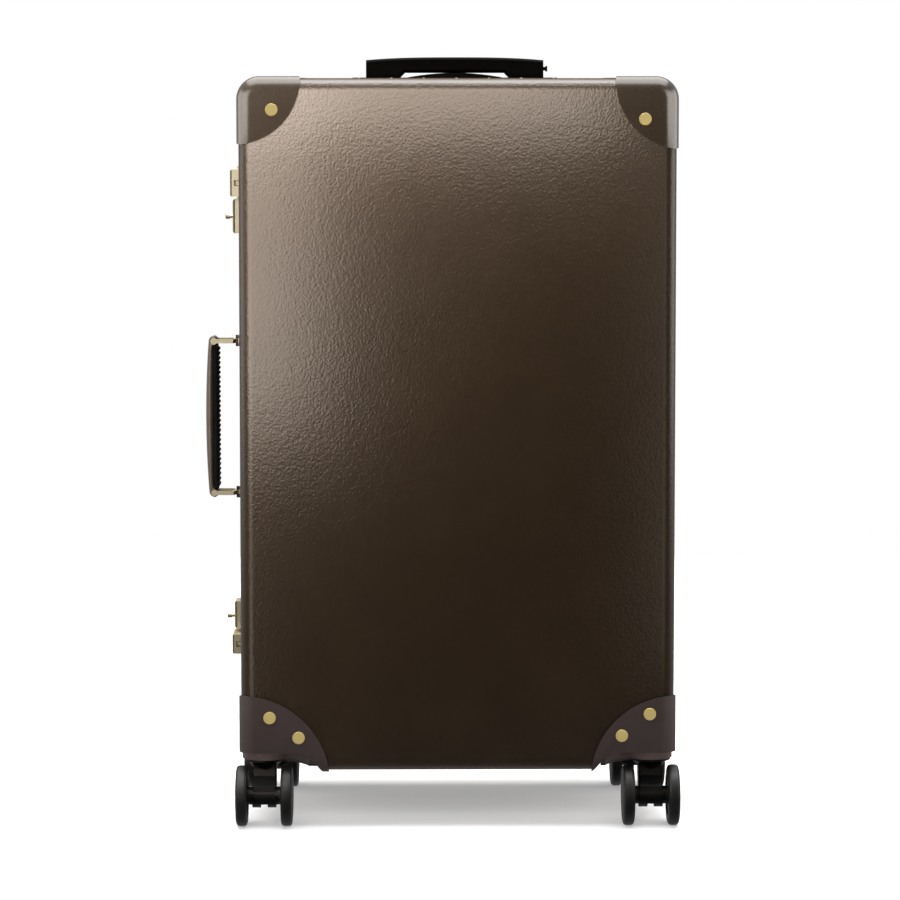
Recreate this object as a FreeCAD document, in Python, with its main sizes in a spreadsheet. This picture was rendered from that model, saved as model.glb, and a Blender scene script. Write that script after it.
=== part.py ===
"""Spinner suitcase: two fibre half shells hinged on one side, leather corner caps,
side carry handle, two side locks, a two-stage trolley handle and four twin-wheel casters.

Millimetres. X: + to the hinge side, - to the side with handle and locks.
Y: - to the front (lid), + to the back.  Z: up from the floor.
All pieces are drawn about the middle of the case body; off_x and off_y then move
every piece so that the whole object stands centred on the origin.
"""
import os
import re
import math

import FreeCAD
import Part
import Sketcher

V = FreeCAD.Vector
doc = FreeCAD.newDocument("suitcase")

# ---------------------------------------------------------------- driving sizes
D = dict(
    off_x=17.0, off_y=6.0,
    body_w=435.0, body_bot=57.0, body_top=750.0,
    front_y=-135.0, back_y=135.0, seam_y=-15.0, seam_gap=0.3,
    wall=3.0, corner_rad=21.0, edge_rad=13.5,
    leather=2.0, inlay=0.4, lining=1.2,
    rivet_rad=6.3, rivet_high=1.5, pin_rad=2.2, pin_high=1.0,
    rim_thick=1.6, rim_wide=22.0, tongue=6.0,
    # casters
    swivel_x=194.5, swivel_y=105.0, trail=16.0,
    wheel_rad=30.5, wheel_wide=12.5, wheel_gap=33.5, boss_rad=9.0,
    fork_wide=24.0, barrel_rad=12.0, axle_rad=3.0, axle_long=57.0,
    king_rad=5.0, cup_rad=22.5, cup_z=67.0,
    well_rad=62.6, well_roll=20.0, well_top=76.0, well_wall=2.5,
    well_back=13.0, turn_rad=46.0, turn_roll=12.0,
    # trolley
    tube_x=77.5, trolley_y=100.0,
    tube_a_x=26.0, tube_a_y=16.0, tube_b_x=23.0, tube_b_y=13.0,
    tube_c_x=20.0, tube_c_y=10.0, tube_wall=1.2,
    tube_a_bot=96.0, tube_b_bot=330.0, tube_c_bot=345.0,
    pan_x=101.0, pan_y=24.0, pan_floor=728.0, pan_wall=2.0,
    flange_x=107.0, flange_y=26.0, flange_high=2.0,
    lip_x=43.0, lip_top=756.9,
    grip_x=93.0, grip_y=13.0, grip_under=757.0, grip_top=770.3, grip_crown=773.3,
    grip_leg=36.0, grip_foot=731.0,
    # side hardware
    hard_z=403.0, handle_y=6.0, handle_half=78.4,
    pivot_out=6.5, link_long=25.0, grip_in=26.7, grip_out_end=37.0, grip_out_mid=40.3,
    grip_half=83.2, grip_half_y=12.0,
    lock_y=10.0, lock_high=11.4, hasp_high=12.8, knob_out=14.8, knob_at=206.6,
    # hinges
    hinge_out=3.0, hinge_rad=3.0, hinge_pin=1.5, hinge_high=60.0,
)
sheet = doc.addObject("Spreadsheet::Sheet", "dims")
for row, (key, value) in enumerate(D.items(), 1):
    sheet.set("A%d" % row, key)
    sheet.set("B%d" % row, repr(value))
    sheet.setAlias("B%d" % row, key)
doc.recompute()

NAMES = re.compile(r"[a-z_]+[a-z]\b")


def ex(text):
    """Turn plain size names into references to the sheet."""
    return NAMES.sub(lambda m: "dims." + m.group(0) if m.group(0) in D else m.group(0), text)


def bind(obj, prop, value):
    obj.setExpression(prop, ex(value) if isinstance(value, str) else repr(float(value)))


counter = [0]


def new(kind, hint):
    counter[0] += 1
    return doc.addObject(kind, "%s_%d" % (hint, counter[0]))


def at(obj, x, y, z, rot=None):
    if rot is not None:
        obj.Placement = FreeCAD.Placement(V(0, 0, 0), rot)
    bind(obj, "Placement.Base.x", x)
    bind(obj, "Placement.Base.y", y)
    bind(obj, "Placement.Base.z", z)
    return obj


def box(x, y, z, lx, ly, lz, hint="block"):
    o = new("Part::Box", hint)
    bind(o, "Length", lx)
    bind(o, "Width", ly)
    bind(o, "Height", lz)
    return at(o, x, y, z)


TURN = {
    "z": None,
    "x": FreeCAD.Rotation(V(0, 1, 0), 90),
    "y": FreeCAD.Rotation(V(1, 0, 0), -90),
    "-x": FreeCAD.Rotation(V(0, 1, 0), -90),
    "-y": FreeCAD.Rotation(V(1, 0, 0), 90),
    "-z": FreeCAD.Rotation(V(1, 0, 0), 180),
}


def cyl(axis, x, y, z, r, h, hint="round"):
    o = new("Part::Cylinder", hint)
    bind(o, "Radius", r)
    bind(o, "Height", h)
    return at(o, x, y, z, TURN[axis])


def cone(axis, x, y, z, r1, r2, h, hint="taper"):
    o = new("Part::Cone", hint)
    bind(o, "Radius1", r1)
    bind(o, "Radius2", r2)
    bind(o, "Height", h)
    return at(o, x, y, z, TURN[axis])


def ball(x, y, z, r, hint="ball"):
    o = new("Part::Sphere", hint)
    bind(o, "Radius", r)
    return at(o, x, y, z)


def dome(axis, x, y, z, rad, high, hint="dome"):
    """Rivet head: a spherical cap standing on the plane through x, y, z."""
    o = new("Part::Sphere", hint)
    r, h = D[rad], D[high]
    big = (r * r + h * h) / (2.0 * h)
    o.Radius = big
    o.setExpression("Radius", ex("(%s*%s+%s*%s)/(2*%s)" % (rad, rad, high, high, high)))
    o.Angle1 = math.degrees(math.asin((big - h) / big))
    o.Angle2 = 90.0
    drop = big - h
    dx, dy, dz = {"x": (1, 0, 0), "-x": (-1, 0, 0), "y": (0, 1, 0), "-y": (0, -1, 0),
                  "z": (0, 0, 1), "-z": (0, 0, -1)}[axis]
    o.Placement = FreeCAD.Placement(
        V(x - dx * drop, y - dy * drop, z - dz * drop), TURN[axis] or FreeCAD.Rotation())
    return o


def fuse(items, hint="joined"):
    if len(items) == 1:
        return items[0]
    o = new("Part::MultiFuse", hint)
    o.Shapes = items
    o.Refine = True
    return o


def common(items, hint="shared"):
    o = new("Part::MultiCommon", hint)
    o.Shapes = items
    return o


def cut(base, tools, hint="cut"):
    o = new("Part::Cut", hint)
    o.Base = base
    o.Tool = tools if not isinstance(tools, list) else fuse(tools)
    return o


def rounded(base, radius, pick, hint="rounded"):
    """Fillet the edges of base that pick(edge) accepts."""
    doc.recompute()
    o = new("Part::Fillet", hint)
    o.Base = base
    r = D[radius] if isinstance(radius, str) else radius
    o.Edges = [(i, r, r) for i, e in enumerate(base.Shape.Edges, 1) if pick(e)]
    return o


def along(axis):
    d = {"x": V(1, 0, 0), "y": V(0, 1, 0), "z": V(0, 0, 1)}[axis]

    def pick(e):
        if not hasattr(e.Curve, "Direction"):
            return False
        return abs(abs(e.Curve.Direction.dot(d)) - 1) < 1e-6
    return pick


def body_from(profile, plane, hint):
    """PartDesign body with one closed polygon sketch; every corner is bound to sheet sizes."""
    body = new("PartDesign::Body", hint)
    sk = body.newObject("Sketcher::SketchObject", hint + "_sketch_%d" % counter[0])
    origin = [f for f in body.Origin.OriginFeatures if f.Role == plane][0]
    sk.AttachmentSupport = [(origin, "")]
    sk.MapMode = "FlatFace"
    start = []
    for a, b in profile:
        start.append((D_num(a), D_num(b)))
    n = len(start)
    for i in range(n):
        p, q = start[i], start[(i + 1) % n]
        sk.addGeometry(Part.LineSegment(V(p[0], p[1], 0), V(q[0], q[1], 0)), False)
    for i in range(n):
        sk.addConstraint(Sketcher.Constraint("Coincident", i, 2, (i + 1) % n, 1))
    for i in range(n):
        for k, what in ((0, "DistanceX"), (1, "DistanceY")):
            c = sk.addConstraint(Sketcher.Constraint(what, -1, 1, i, 1, start[i][k]))
            if isinstance(profile[i][k], str):
                sk.setExpression("Constraints[%d]" % c, ex(profile[i][k]))
    return body, sk


def D_num(v):
    """Number of a plain 'name', 'name+n', 'name-n' or '-name' size, for the first drawing."""
    if not isinstance(v, str):
        return float(v)
    total, sign = 0.0, 1.0
    for token in re.findall(r"[+-]|[a-z_]+|[0-9.]+", v.replace(" ", "")):
        if token == "+":
            sign = 1.0
        elif token == "-":
            sign = -1.0
        else:
            total += sign * (D[token] if token in D else float(token))
            sign = 1.0
    return total


def padded(profile, plane, length, hint):
    body, sk = body_from(profile, plane, hint)
    pad = body.newObject("PartDesign::Pad", hint + "_pad_%d" % counter[0])
    pad.Profile = sk
    pad.Midplane = True
    bind(pad, "Length", length)
    body.Tip = pad
    return body


def turned(profile, plane, about, hint):
    body, sk = body_from(profile, plane, hint)
    rev = body.newObject("PartDesign::Revolution", hint + "_turn_%d" % counter[0])
    rev.Profile = sk
    rev.ReferenceAxis = (sk, [about])
    rev.Angle = 360.0
    body.Tip = rev
    return body


nodes = []


def node(label, items):
    """One bench piece (or one set of like fasteners), moved to the object's own frame."""
    o = doc.addObject("Part::Compound", label)
    o.Label = label
    o.Links = items if isinstance(items, list) else [items]
    bind(o, "Placement.Base.x", "off_x")
    bind(o, "Placement.Base.y", "off_y")
    nodes.append(o)
    return o


HW = D["body_w"] / 2.0
BOT, TOP = D["body_bot"], D["body_top"]
FY, BY, SY = D["front_y"], D["back_y"], D["seam_y"]


# ---------------------------------------------------------------- shells
def envelope(half, grow):
    """Solid outside shape of a half, grown outwards by grow (an expression)."""
    g = D_num(grow)
    if half == "lid":
        b = box("-body_w/2-(%s)" % grow, "front_y-(%s)" % grow, "body_bot-(%s)" % grow,
                "body_w+2*(%s)" % grow, "seam_y-seam_gap-front_y+(%s)" % grow,
                "body_top-body_bot+2*(%s)" % grow, "lid_block")
        face = FY - g
    else:
        b = box("-body_w/2-(%s)" % grow, "seam_y+seam_gap", "body_bot-(%s)" % grow,
                "body_w+2*(%s)" % grow, "back_y-seam_y-seam_gap+(%s)" % grow,
                "body_top-body_bot+2*(%s)" % grow, "base_block")
        face = BY + g
    a = rounded(b, D["corner_rad"] + g, along("y"))

    def on_face(e):
        return all(abs(v.Point.y - face) < 1e-6 for v in e.Vertexes)
    return rounded(a, D["edge_rad"] + g, on_face)


env = {}
for half in ("lid", "base"):
    for key, grow in (("out", "0"), ("cap", "leather"), ("inlay", "-inlay"), ("in", "-wall")):
        env[half, key] = envelope(half, grow)


def well(sx, sy, grow):
    """Wheel arch: a round space about the swivel axis with a rolled top edge,
    opened to the outside corner."""
    n = D_num(grow)
    c = cyl("z", "%d*swivel_x" % sx, "%d*swivel_y" % sy, 30 - n, "well_rad+%s" % grow,
            "well_top-%g+%s" % (30 - n, grow), "arch")
    c.Placement.Rotation = FreeCAD.Rotation(V(0, 0, 1), 45 * sx * sy + 90 + 5 * n)
    top = D["well_top"] + n
    c = rounded(c, D["well_roll"] + n, lambda e: e.BoundBox.ZMin > top - 0.01)
    # the wide arch is kept only where it opens through the outer faces
    high = "well_top-%g+%s+10" % (30 - n, grow)
    ya = "-swivel_y-90" if sy < 0 else "swivel_y-well_back-(%s)" % grow
    xa = "-swivel_x-90" if sx < 0 else "swivel_x-(%s)" % grow
    front = box("%d*swivel_x-90" % sx, ya, 25 - n, 180, "90+well_back+%s" % grow, high, "face_side")
    flank = box(xa, "%d*swivel_y-90" % sy, 25 - n, "90+%s" % grow, 180, high, "flank_side")
    c = common([c, fuse([front, flank], "outer_sides")], "arch_mouth")
    # behind it the space is just wide enough for the caster to turn
    r = cyl("z", "%d*swivel_x" % sx, "%d*swivel_y" % sy, 30 - n, "turn_rad+%s" % grow,
            "well_top-%g+%s" % (30 - n, grow), "turning")
    r.Placement.Rotation = FreeCAD.Rotation(V(0, 0, 1), 45 * sx * sy + 90 + 7 * n)
    r = rounded(r, D["turn_roll"] + n, lambda e: e.BoundBox.ZMin > top - 0.01)
    out = 60 + 2 * n
    x0 = "-swivel_x-%g" % out if sx < 0 else "swivel_x-(%s)" % grow
    y0 = "-swivel_y-%g" % out if sy < 0 else "swivel_y-(%s)" % grow
    b = box(x0, y0, 30 - n, "%g+%s" % (out, grow), "%g+%s" % (out, grow), "well_top-%g+%s" % (30 - n, grow),
            "corner_space")
    return fuse([c, r, b], "arch_space")


SIDES = [("left", -1), ("right", 1)]
ENDS = {"lid": ("front", -1), "base": ("rear", 1)}
wells, wells_big = {}, {}
for half in ("lid", "base"):
    for side, sx in SIDES:
        sy = ENDS[half][1]
        wells[half, side] = well(sx, sy, "0")
        wells_big[half, side] = well(sx, sy, "well_wall")

# leather caps: (radius, centre x, centre z) as measured on the front
CAPS = {
    ("top", "left"): (65.5, -221.5, 750.0),
    ("top", "right"): (67.0, 223.0, 747.0),
    ("bottom", "left"): (88.3, -216.5, 45.5),
    ("bottom", "right"): (85.5, 219.0, 48.0),
}
caps = {}
for half in ("lid", "base"):
    yface = FY if half == "lid" else BY
    for (level, side), (r, cx, cz) in CAPS.items():
        s = ball(cx, yface, cz, r, "cap_round")
        c = cut(common([env[half, "cap"], s]), env[half, "inlay"], "cap_skin")
        if level == "bottom":
            c = cut(c, wells[half, side], "cap_arched")
        caps[half, level, side] = node("%s_corner_%s_%s" % (half, level, side), c)


def bare(o):
    """The drawn shape behind a node, still about the middle of the case."""
    return o.Links[0]


# recess in the top of the base for the trolley bezel
pan_hole = box("-pan_x-pan_wall", "trolley_y-pan_y-pan_wall", "pan_floor-pan_wall",
               "2*pan_x+2*pan_wall", "2*pan_y+2*pan_wall", 60, "bezel_space")

shell = {}
for half in ("lid", "base"):
    holes = [wells_big[half, s] for s, _ in SIDES]
    holes += [bare(caps[half, lv, s]) for lv in ("top", "bottom") for s, _ in SIDES]
    if half == "base":
        holes.append(pan_hole)
    # the cavity runs out through the seam
    if half == "lid":
        mouth = box("-body_w/2+wall", "seam_y-20", "body_bot+wall", "body_w-2*wall", 30,
                    "body_top-body_bot-2*wall", "mouth")
    else:
        mouth = box("-body_w/2+wall", "seam_y-10", "body_bot+wall", "body_w-2*wall", 30,
                    "body_top-body_bot-2*wall", "mouth")
    mouth = rounded(mouth, D["corner_rad"] - D["wall"], along("y"))
    hollow = cut(env[half, "out"], fuse([env[half, "in"], mouth], "cavity"), "tray")
    for h in holes:
        hollow = cut(hollow, h, "tray_cut")
    shell[half] = node(half + "_shell", hollow)

# wheel housings: the moulded arch lining with the round cup that holds the kingpin
for half in ("lid", "base"):
    end, sy = ENDS[half]
    made, pins = [], []
    for side, sx in SIDES:
        wall = common([env[half, "out"], wells_big[half, side]])
        wall = cut(wall, wells[half, side], "arch_wall")
        cup = cyl("z", "%d*swivel_x" % sx, "%d*swivel_y" % sy, "cup_z", "cup_rad", "well_top+1.5-cup_z", "cup")
        body = fuse([wall, cup], "housing")
        body = cut(body, cyl("z", "%d*swivel_x" % sx, "%d*swivel_y" % sy, 60,
                             "king_rad", 17, "king_hole"))
        for lv in ("bottom",):
            body = cut(body, bare(caps[half, lv, side]), "housing_cut")
        made.append(body)
        pins.append(cyl("z", "%d*swivel_x" % sx, "%d*swivel_y" % sy, 48.0,
                        "king_rad", 29.0, "kingpin"))
    node(end + "_wheel_housings", made)
    node(end + "_kingpins", pins)

# ---------------------------------------------------------------- rims and linings
ri = D["corner_rad"] - D["wall"]


def ring(y0, ly, inset, thick):
    a = box("-body_w/2+wall+%s" % inset, y0, "body_bot+wall+%s" % inset,
            "body_w-2*wall-2*%s" % inset, ly, "body_top-body_bot-2*wall-2*%s" % inset)
    a = rounded(a, ri - D_num(inset), along("y"))
    b = box("-body_w/2+wall+%s+%s" % (inset, thick), "(%s)-5" % y0,
            "body_bot+wall+%s+%s" % (inset, thick),
            "body_w-2*wall-2*%s-2*%s" % (inset, thick), "(%s)+10" % ly,
            "body_top-body_bot-2*wall-2*%s-2*%s" % (inset, thick))
    b = rounded(b, max(2.0, ri - D_num(inset) - D_num(thick)), along("y"))
    return cut(a, b, "ring")


# base rim: a flat band on the base wall and a thinner tongue that enters the lid
rim_base = fuse([
    ring("seam_y+seam_gap", "rim_wide", "0", "rim_thick"),
    ring("seam_y-tongue", "tongue+rim_wide", "0.6", "rim_thick"),
], "rim")
node("base_rim_frame", rim_base)
rim_lid = ring("seam_y-tongue-1-rim_wide", "rim_wide", "0", "rim_thick")
for _, sx in SIDES:
    rim_lid = cut(rim_lid, well(sx, -1, "well_wall+0.2"), "rim_cut")
node("lid_rim_frame", rim_lid)

lin_lid = cut(env["lid", "in"], envelope("lid", "-wall-lining"), "lining")
stop = box(-400, "seam_y-tongue-1-rim_wide-0.2", 0, 800, 100, 900)
for h in [stop] + [well(sx, -1, "well_wall+0.2") for _, sx in SIDES]:
    lin_lid = cut(lin_lid, h, "lining_cut")
node("lid_lining", lin_lid)

lin_base = cut(env["base", "in"], envelope("base", "-wall-lining"), "lining")
stop = box(-400, "seam_y-100", 0, 800, "100+rim_wide+0.6", 900)
pan_big = box("-pan_x-pan_wall-0.3", "trolley_y-pan_y-pan_wall-0.3", "pan_floor-pan_wall-4",
              "2*pan_x+2*pan_wall+0.6", "2*pan_y+2*pan_wall+0.6", 60, "bezel_space")
feet_gap = [box("%d*tube_x-16" % sx, "trolley_y-12.3", "body_bot", 32, 24.6, 40) for _, sx in SIDES]
for h in [stop, pan_big] + feet_gap + [well(sx, 1, "well_wall+0.2") for _, sx in SIDES]:
    lin_base = cut(lin_base, h, "lining_cut")
node("base_lining", lin_base)

# ---------------------------------------------------------------- rivets
RIV = {
    ("top", "left"): [(-184.2, 718.7)],
    ("top", "right"): [(185.2, 709.5)],
    ("bottom", "left"): [(-188.4, 112.1), (-159.5, 91.9)],
    ("bottom", "right"): [(192.4, 115.3), (164.5, 93.4)],
}
L = D["leather"]
for half in ("lid", "base"):
    sy = ENDS[half][1]
    yface = (FY - L) if half == "lid" else (BY + L)
    ax = "-y" if half == "lid" else "y"
    heads = []
    for (level, side), spots in RIV.items():
        sx = -1 if side == "left" else 1
        for x, z in spots:
            far = yface + sy * D["rivet_high"]
            head = cyl(ax, x, yface, z, "rivet_rad", "rivet_high", "rivet")
            doc.recompute()
            heads.append(rounded(head, 0.7, lambda e: abs(e.BoundBox.Center.y - far) < 1e-3 and e.BoundBox.XLength > 5))
    node(half + "_corner_rivets", heads)

for half in ("lid", "base"):
    y = SY - 17.0 if half == "lid" else SY + 11.0
    heads = []
    for i in range(-4, 5):
        heads.append(dome("z", 33.0 * i, y, TOP, "pin_rad", "pin_high"))
        if abs(i) < 4:
            heads.append(dome("-z", 33.0 * i, y, BOT, "pin_rad", "pin_high"))
    for z in (698.0, 672.0, 548.0, 522.0, 496.0, 300.0, 274.0, 248.0, 144.0, 126.0):
        heads.append(dome("-x", -HW, y, z, "pin_rad", "pin_high"))
    for z in (698.0, 672.0, 646.0, 546.0, 520.0, 494.0, 468.0, 356.0, 330.0, 304.0, 278.0, 152.0, 126.0):
        heads.append(dome("x", HW, y, z, "pin_rad", "pin_high"))
    node(half + "_rim_rivets", heads)

# ---------------------------------------------------------------- hinges
HZ = (600.0, 412.0, 214.0)
leaf_lid, leaf_base, pins = [], [], []
hx = "body_w/2+hinge_out"
for z in HZ:
    z0 = z - D["hinge_high"] / 2
    third = D["hinge_high"] / 3
    mid = cyl("z", hx, "seam_y", z0 + third + 0.2, "hinge_rad", third - 0.4, "knuckle")
    arm = box("body_w/2", "seam_y-3.2", z0 + third + 0.2, "hinge_out", 3.0, third - 0.4)
    plate = box("body_w/2", "seam_y-22", z0, 1.5, 18.6, "hinge_high", "leaf")
    lid_leaf = fuse([mid, arm, plate])
    leaf_lid.append(cut(lid_leaf, cyl("z", hx, "seam_y", z0 - 1, "hinge_pin+0.05", "hinge_high+2")))
    outer = []
    for zz in (z0, z0 + 2 * third):
        outer.append(cyl("z", hx, "seam_y", zz, "hinge_rad", third, "knuckle"))
        outer.append(box("body_w/2", "seam_y+0.3", zz, "hinge_out", 3.0, third))
    outer.append(box("body_w/2", "seam_y+3.3", z0, 1.5, 22, "hinge_high", "leaf"))
    base_leaf = fuse(outer)
    leaf_base.append(cut(base_leaf, cyl("z", hx, "seam_y", z0 - 1, "hinge_pin", "hinge_high+2")))
    pins.append(cyl("z", hx, "seam_y", z0 - 0.4, "hinge_pin", "hinge_high+0.8", "hinge_pin"))
# the rim rivets of the hinge side stay clear of the leaves
node("hinge_leaves_lid", leaf_lid)
node("hinge_leaves_base", leaf_base)
node("hinge_pins", pins)

# ---------------------------------------------------------------- locks
HZW = D["hard_z"]
wx = "-body_w/2"


def span(sgn, a, b):
    """z start and height of a piece that lies a..b from the hardware middle."""
    return (HZW + a, b - a) if sgn > 0 else (HZW - b, b - a)


bodies, catches, lock_pins = [], [], []
# from the middle of the hardware outwards: the case with its knob, then the hasp
LOCKS = (("upper", 1, 189.4, 224.5, 227.6, 255.0), ("lower", -1, 190.4, 218.6, 221.7, 241.7))
for name, sgn, c0, c1, h0, h1 in LOCKS:
    hm = (h0 + h1) / 2
    kn = D["knob_at"]
    z, h = span(sgn, 176.0, h1 + 3.0)
    plate = box("-body_w/2-1.8", "lock_y-23", z, 1.8, 30.5, h, "lock_plate")
    z, h = span(sgn, c0, c1)
    case = box("-body_w/2-lock_high", "lock_y-21", z, "lock_high", 27, h, "lock_case")
    doc.recompute()
    case = rounded(case, 3.0, lambda e: e.BoundBox.XMax < -HW - D["lock_high"] + 0.1)
    posts = []
    for a, b in ((c1 + 0.4, h0 - 0.3), (h1 + 0.3, h1 + 3.0)):
        z, h = span(sgn, a, b)
        posts.append(box("-body_w/2-7.4", "lock_y-2.4", z, 7.4, 4.8, h, "post"))
    lock = fuse([plate, case] + posts)
    z, h = span(sgn, c0 + 3.0, c1 - 3.0)
    cavity = box("-body_w/2-6.9", "lock_y-16", z, 5.1, 17, h, "bolt_space")
    z, h = span(sgn, kn - 9.5, kn + 2.7)
    slot = box("-body_w/2-lock_high-3", "lock_y-10.4", z, "lock_high-2.5", 4.8, h, "knob_slot")
    z, h = span(sgn, c1, h1 + 3.4)
    bore = cyl("z", "-body_w/2-5", "lock_y", z, 1.25, h, "pin_hole")
    bodies.append(cut(lock, [cavity, slot, bore], "lock_body"))
    z, h = span(sgn, c1 + 0.4, h1 + 3.0)
    lock_pins.append(cyl("z", "-body_w/2-5", "lock_y", z, 1.25, h, "hasp_pin"))
    # catch on the lid with a staple that stands in the hasp
    z, h = span(sgn, h0 + 2.0, h1 - 2.0)
    cp = box("-body_w/2-1.8", "seam_y-24", z, 1.8, 22, h, "catch_plate")
    z, h = span(sgn, hm - 2.1, hm + 2.1)
    st = box("-body_w/2-6.5", "seam_y-17", z, 6.5, 6, h, "staple")
    catches.append(fuse([cp, st]))
    # hasp
    z, h = span(sgn, h0, h1)
    hb = box("-body_w/2-hasp_high", "seam_y-20", z, "hasp_high-2.5", "lock_y-seam_y+20", h, "hasp_block")
    hb = rounded(hb, 2.2, lambda e: e.BoundBox.XMax < -HW - D["hasp_high"] + 0.1)
    knuckle = cyl("z", "-body_w/2-5", "lock_y", z, 2.7, h, "hasp_knuckle")
    hasp = fuse([hb, knuckle])
    zc, hc = span(sgn, hm - 2.9, hm + 2.9)
    chan = box("-body_w/2-8.6", "seam_y-30", zc, 7, 26, hc, "staple_slot")
    zb, hbz = span(sgn, h0 - 9.0, h1 + 6.0)
    bore = cyl("z", "-body_w/2-5", "lock_y", zb, 1.3, hbz, "hasp_bore")
    node(name + "_lock_hasp", cut(hasp, [chan, bore], "hasp"))
    # slider: bolt plate inside the case, neck and knob outside
    z, h = span(sgn, kn - 5.5, kn + 5.5)
    bp = box("-body_w/2-5.6", "lock_y-14", z, 2.6, 13, h, "bolt")
    zk = HZW + sgn * kn
    neck = cyl("-x", "-body_w/2-5.6", "lock_y-8", zk, 2.0, "knob_out-3.6", "knob_neck")
    head = cyl("-x", "-body_w/2-knob_out", "lock_y-8", zk, 2.9, 4.4, "knob")
    head = rounded(head, 1.2, lambda e: abs(e.BoundBox.XMax + HW + D["knob_out"] + 4.4) < 1e-3)
    node(name + "_lock_knob", fuse([bp, neck, head]))
node("lock_bodies", bodies)
node("lock_pins", lock_pins)
node("lock_catches", catches)

# ---------------------------------------------------------------- carry handle
px = "-body_w/2-pivot_out"
brackets, bpins, stirrups = [], [], []
for sgn in (1, -1):
    zc = HZW + sgn * D["handle_half"]
    plate = box("-body_w/2-2", "handle_y-9", zc - 9, 2.0, 18, 18, "bracket_plate")
    ears = []
    for z in (zc - 5.8, zc + 2.4):
        ears.append(box(px, "handle_y-3", z, "pivot_out", 6, 3.4, "ear"))
        ears.append(cyl("z", px, "handle_y", z, 3.0, 3.4, "ear_round"))
    b = fuse([plate] + ears)
    brackets.append(cut(b, cyl("z", px, "handle_y", zc - 10, 1.25, 20, "pin_hole")))
    bpins.append(cyl("z", px, "handle_y", zc - 6.0, 1.25, 12.0, "bracket_pin"))
    # stirrup: a forked link from the bracket pin to the cross pin in the grip
    P = -HW - D["pivot_out"]
    Y0 = D["handle_y"]
    LL = D["link_long"]
    outline = [(P - 0.5, Y0 - 2.2), (P - 1.5, Y0 - 3.8), (P - 5.2, Y0 - 14.6), (P - LL, Y0 - 14.6),
               (P - LL, Y0 - 12.3), (P - 7.6, Y0 - 12.3), (P - 5.0, Y0 - 3.0),
               (P - 5.0, Y0 + 3.0), (P - 7.6, Y0 + 12.3), (P - LL, Y0 + 12.3),
               (P - LL, Y0 + 14.6), (P - 5.2, Y0 + 14.6), (P - 1.5, Y0 + 3.8), (P - 0.5, Y0 + 2.2)]
    fork = padded(outline, "XY_Plane", 4.2, "stirrup")
    at(fork, 0, 0, zc)
    eye = cyl("z", px, "handle_y", zc - 2.1, 2.6, 4.2, "eye")
    rod = cyl("y", "-body_w/2-pivot_out-link_long", "handle_y-14.6", zc, 2.2, 29.2, "cross_pin")
    ends = [cyl("y", "-body_w/2-pivot_out-link_long", "handle_y+%g" % y, zc, 3.3, 2.3, "eye")
            for y in (-14.6, 12.3)]
    st = fuse([fork, eye, rod] + ends)
    dots = [cyl("y", "-body_w/2-pivot_out-link_long", "handle_y+%g" % y, zc, 0.9, 2.0, "pin_mark") for y in (-15.6, 13.6)]
    stirrups.append(cut(st, [cyl("z", px, "handle_y", zc - 4, 1.3, 8, "pin_hole")] + dots))
node("handle_brackets", brackets)
node("handle_bracket_pins", bpins)
node("handle_stirrups", stirrups)

gi, ge, gm = (-HW - D[k] for k in ("grip_in", "grip_out_end", "grip_out_mid"))
gh = D["grip_half"]
bow = []
steps = 12
for i in range(steps + 1):
    t = -1 + 2.0 * i / steps
    bow.append((gm + (ge - gm) * t * t, HZW + gh * t))
prof = [(gi, HZW - gh)] + bow + [(gi, HZW + gh)]
grip = padded(prof, "XZ_Plane", "2*grip_half_y", "handle_bow")
at(grip, 0, "handle_y", 0)
doc.recompute()
grip = rounded(grip, 3.2, lambda e: abs(e.BoundBox.YLength) < 1e-6)
grip = cut(grip, [cyl("y", "-body_w/2-pivot_out-link_long", "handle_y-20", HZW + s * D["handle_half"],
                      2.2, 40, "pin_hole") for s in (1, -1)])
node("handle_grip", grip)

# ---------------------------------------------------------------- trolley
ty = D["trolley_y"]


def tube(sx, wx_, wy_, z0, z1, hollow=True):
    a = box("%d*tube_x-%s/2" % (sx, wx_), "trolley_y-%s/2" % wy_, z0, wx_, wy_, "(%s)-(%s)" % (z1, z0), "tube")
    a = rounded(a, 3.0, along("z"))
    b = box("%d*tube_x-%s/2+tube_wall" % (sx, wx_), "trolley_y-%s/2+tube_wall" % wy_, "(%s)-5" % z0,
            "%s-2*tube_wall" % wx_, "%s-2*tube_wall" % wy_, "(%s)-(%s)+10" % (z1, z0), "tube_bore")
    b = rounded(b, 1.9, along("z"))
    return cut(a, b, "tube")


node("trolley_outer_tubes", [tube(sx, "tube_a_x", "tube_a_y", "tube_a_bot", "pan_floor-pan_wall") for _, sx in SIDES])
node("trolley_middle_tubes", [tube(sx, "tube_b_x", "tube_b_y", "tube_b_bot", "pan_floor-0.4") for _, sx in SIDES])
node("trolley_inner_tubes", [tube(sx, "tube_c_x", "tube_c_y", "tube_c_bot", "grip_foot+12") for _, sx in SIDES])
node("trolley_feet", [box("%d*tube_x-15.5" % sx, "trolley_y-12", "body_bot+wall", 31, 24,
                          "tube_a_bot-body_bot-wall", "foot") for _, sx in SIDES])

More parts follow.
